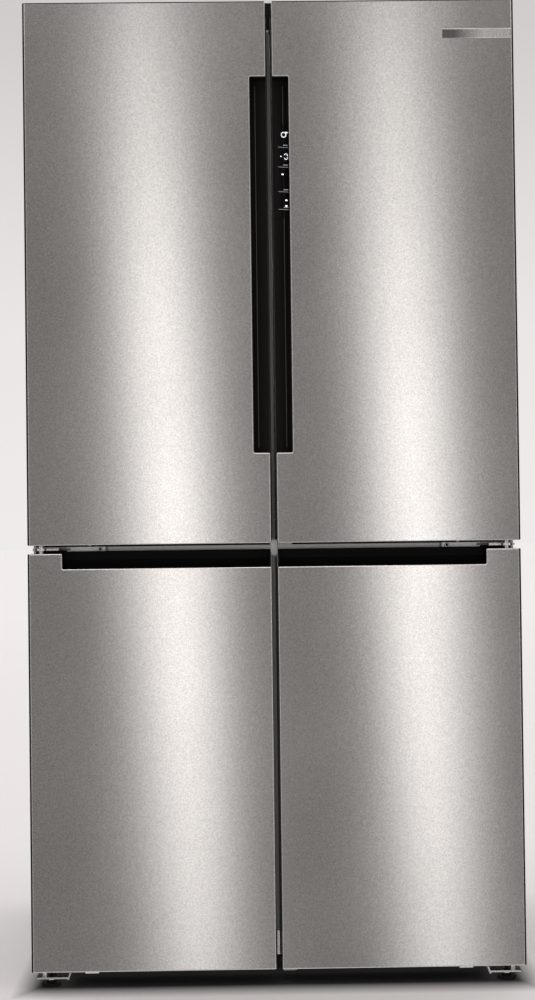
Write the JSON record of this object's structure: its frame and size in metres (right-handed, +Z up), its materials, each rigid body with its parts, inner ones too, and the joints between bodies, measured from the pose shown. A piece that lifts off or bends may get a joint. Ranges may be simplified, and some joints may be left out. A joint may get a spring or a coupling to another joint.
{
  "type": "french door refrigerator",
  "caption": "Free-standing french door refrigerator with freezer doors below, brushed steel fronts, black recessed grips, a grip touch panel, drawers, bins, glass shelves and a machine room.",
  "frame": {"origin": "on the floor, under the middle of the box that bounds the whole refrigerator", "axes": "+X to the right of someone facing the doors, -Y towards them, +Z up"},
  "size_m": [0.905, 0.731, 1.83],
  "materials": {
    "stainless": "warm grey stainless sheet, finely brushed, soft sheen",
    "door_liner": "smooth white liner plastic over foam, satin",
    "cap_black": "black moulded plastic, fine grain",
    "grip_black": "black moulded plastic, satin",
    "seal_grey": "dark grey soft seal, matte",
    "clear_plastic": "clear moulded plastic, glossy, faint cool tint",
    "cabinet_paint": "grey painted sheet, satin",
    "foam": "pale yellow rigid foam, matte",
    "white_liner": "white liner plastic, satin gloss",
    "frame_steel": "dark grey painted steel, satin",
    "rear_sheet": "pale grey coated sheet, satin",
    "zinc_steel": "zinc-coated sheet, dull grey metal",
    "black_plastic": "black moulded plastic, matte",
    "grey_plastic": "grey moulded plastic, fine grain",
    "light_grey_plastic": "light grey moulded plastic, satin",
    "white_plastic": "white moulded plastic, satin",
    "hinge_steel": "bright nickel-plated steel",
    "screw_steel": "bright plated steel screws",
    "black_paint": "black enamel, semi-gloss",
    "coil_metal": "bare aluminium fins and tubes",
    "shelf_glass": "clear toughened glass with a green edge",
    "circuit_board": "green circuit board with black and white components",
    "mullion_grey": "grey moulded plastic with a smooth metal-look face",
    "display_black": "glossy black touch panel with small white icons",
    "trim_metal": "dark satin metal bar with a bright bevel, left blank"
  },
  "bodies": {
    "root": {"cabinet_shell": "cabinet_paint", "cabinet_foam": "foam", "fridge_liner": "white_liner", "freezer_liners": "white_liner", "front_frame": "frame_steel", "rear_panel": "rear_sheet", "base_pan": "zinc_steel", "kickplate": "black_plastic", "top_cover": "grey_plastic", "top_hinges": "hinge_steel", "middle_hinges": "hinge_steel", "bottom_hinges": "hinge_steel", "hinge_screws": "screw_steel", "center_plug": "light_grey_plastic", "compressor": "black_paint", "condenser": "coil_metal", "evaporator": "coil_metal", "air_guides": "white_plastic", "machine_cover": "rear_sheet", "mains_inlet": "black_plastic", "glass_shelves": "shelf_glass", "control_board": "circuit_board"},
    "left_door": {"left_door_skin": "stainless", "left_door_core": "door_liner", "left_door_caps": "cap_black", "left_door_grip": "grip_black", "left_door_gasket": "seal_grey", "left_door_bins": "clear_plastic", "mullion_arms": "hinge_steel"},
    "left_freezer_door": {"left_freezer_door_skin": "stainless", "left_freezer_door_core": "door_liner", "left_freezer_door_caps": "cap_black", "left_freezer_door_gasket": "seal_grey"},
    "right_door": {"right_door_skin": "stainless", "right_door_core": "door_liner", "right_door_caps": "cap_black", "right_door_grip": "grip_black", "right_door_gasket": "seal_grey", "right_door_bins": "clear_plastic", "display_panel": "display_black", "trim_bar": "trim_metal"},
    "right_freezer_door": {"right_freezer_door_skin": "stainless", "right_freezer_door_core": "door_liner", "right_freezer_door_caps": "cap_black", "right_freezer_door_gasket": "seal_grey"},
    "mullion": {"mullion": "mullion_grey"},
    "left_crisper": {"left_crisper": "clear_plastic"},
    "left_freezer_drawer_bottom": {"left_freezer_drawer_bottom": "clear_plastic"},
    "left_freezer_drawer_middle": {"left_freezer_drawer_middle": "clear_plastic"},
    "left_freezer_drawer_top": {"left_freezer_drawer_top": "clear_plastic"},
    "left_foot": {"left_foot": "black_plastic"},
    "left_roller": {"left_roller": "black_plastic"},
    "right_crisper": {"right_crisper": "clear_plastic"},
    "right_freezer_drawer_bottom": {"right_freezer_drawer_bottom": "clear_plastic"},
    "right_freezer_drawer_middle": {"right_freezer_drawer_middle": "clear_plastic"},
    "right_freezer_drawer_top": {"right_freezer_drawer_top": "clear_plastic"},
    "right_foot": {"right_foot": "black_plastic"},
    "right_roller": {"right_roller": "black_plastic"},
    "condenser_fan": {"condenser_fan": "black_plastic"},
    "evaporator_fan": {"evaporator_fan": "white_plastic"}
  },
  "joints": [
    {"name": "left_door_hinge", "type": "hinge", "parent": "root", "child": "left_door", "pos_m": [-0.4323, -0.3265, 0.809], "axis": [0, 0, -1], "range_deg": [0, 115]},
    {"name": "left_freezer_door_hinge", "type": "hinge", "parent": "root", "child": "left_freezer_door", "pos_m": [-0.4323, -0.3265, 0.03], "axis": [0, 0, -1], "range_deg": [0, 115]},
    {"name": "right_door_hinge", "type": "hinge", "parent": "root", "child": "right_door", "pos_m": [0.4323, -0.3265, 0.809], "axis": [0, 0, 1], "range_deg": [0, 115]},
    {"name": "right_freezer_door_hinge", "type": "hinge", "parent": "root", "child": "right_freezer_door", "pos_m": [0.4323, -0.3265, 0.03], "axis": [0, 0, 1], "range_deg": [0, 115]},
    {"name": "mullion_hinge", "type": "hinge", "parent": "left_door", "child": "mullion", "pos_m": [-0.03, -0.277, 0.851], "axis": [0, 0, 1], "range_deg": [0, 90]},
    {"name": "left_crisper_slide", "type": "slide", "parent": "root", "child": "left_crisper", "axis": [0, -1, 0], "range_m": [0, 0.05]},
    {"name": "left_freezer_drawer_bottom_slide", "type": "slide", "parent": "root", "child": "left_freezer_drawer_bottom", "axis": [0, -1, 0], "range_m": [0, 0.04]},
    {"name": "left_freezer_drawer_middle_slide", "type": "slide", "parent": "root", "child": "left_freezer_drawer_middle", "axis": [0, -1, 0], "range_m": [0, 0.04]},
    {"name": "left_freezer_drawer_top_slide", "type": "slide", "parent": "root", "child": "left_freezer_drawer_top", "axis": [0, -1, 0], "range_m": [0, 0.04]},
    {"name": "left_foot_screw", "type": "hinge", "parent": "root", "child": "left_foot", "pos_m": [-0.42, -0.334, 0], "axis": [0, 0, 1], "continuous": true},
    {"name": "left_roller_spin", "type": "hinge", "parent": "root", "child": "left_roller", "pos_m": [-0.3995, 0.3, 0.017], "axis": [1, 0, 0], "continuous": true},
    {"name": "right_crisper_slide", "type": "slide", "parent": "root", "child": "right_crisper", "axis": [0, -1, 0], "range_m": [0, 0.05]},
    {"name": "right_freezer_drawer_bottom_slide", "type": "slide", "parent": "root", "child": "right_freezer_drawer_bottom", "axis": [0, -1, 0], "range_m": [0, 0.04]},
    {"name": "right_freezer_drawer_middle_slide", "type": "slide", "parent": "root", "child": "right_freezer_drawer_middle", "axis": [0, -1, 0], "range_m": [0, 0.04]},
    {"name": "right_freezer_drawer_top_slide", "type": "slide", "parent": "root", "child": "right_freezer_drawer_top", "axis": [0, -1, 0], "range_m": [0, 0.04]},
    {"name": "right_foot_screw", "type": "hinge", "parent": "root", "child": "right_foot", "pos_m": [0.42, -0.334, 0], "axis": [0, 0, 1], "continuous": true},
    {"name": "right_roller_spin", "type": "hinge", "parent": "root", "child": "right_roller", "pos_m": [0.3995, 0.3, 0.017], "axis": [1, 0, 0], "continuous": true},
    {"name": "condenser_fan_spin", "type": "hinge", "parent": "root", "child": "condenser_fan", "pos_m": [-0.038, 0.258, 0.14], "axis": [1, 0, 0], "continuous": true},
    {"name": "evaporator_fan_spin", "type": "hinge", "parent": "root", "child": "evaporator_fan", "pos_m": [-0.221, 0.27, 0.405], "axis": [0, 1, 0], "continuous": true}
  ],
  "couplings": [
    {"joint": "mullion_hinge", "follows": "left_door_hinge", "ratio": 0.78}
  ]
}
